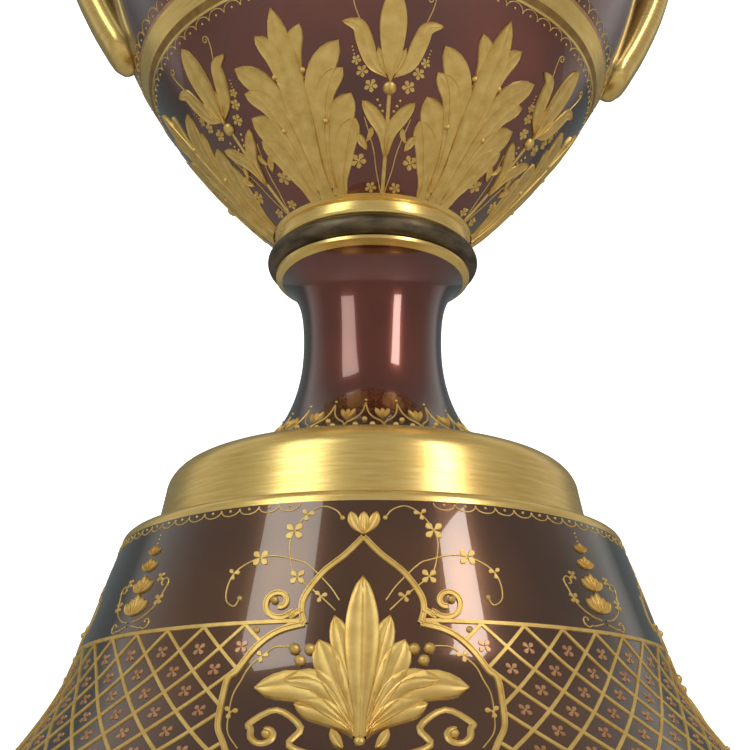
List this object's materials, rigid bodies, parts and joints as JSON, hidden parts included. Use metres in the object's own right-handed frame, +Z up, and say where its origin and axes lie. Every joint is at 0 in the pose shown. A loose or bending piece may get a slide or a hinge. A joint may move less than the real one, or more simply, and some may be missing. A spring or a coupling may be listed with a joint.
{
  "type": "mantel urn",
  "caption": "Two-handled mantel urn in gilded lustre porcelain on a waisted socle and a flared round stand.",
  "frame": {"origin": "centre of the stand's underside, on the plane it rests on", "axes": "+Z up along the urn's axis, the two handles along +X and -X, the front towards -Y"},
  "size_m": [0.254, 0.254, 0.428],
  "materials": {
    "lustre_dark": "dark brown iridescent lustre glaze, glossy",
    "lustre_red": "maroon iridescent lustre glaze, glossy",
    "collar_brass": "tarnished brass",
    "gilding": "raised paste gilding, matt on the leaves and burnished on the bands"
  },
  "bodies": {
    "root": {"stand": "lustre_dark", "socle": "lustre_red", "collar": "collar_brass", "urn": "lustre_red"}
  },
  "joints": []
}
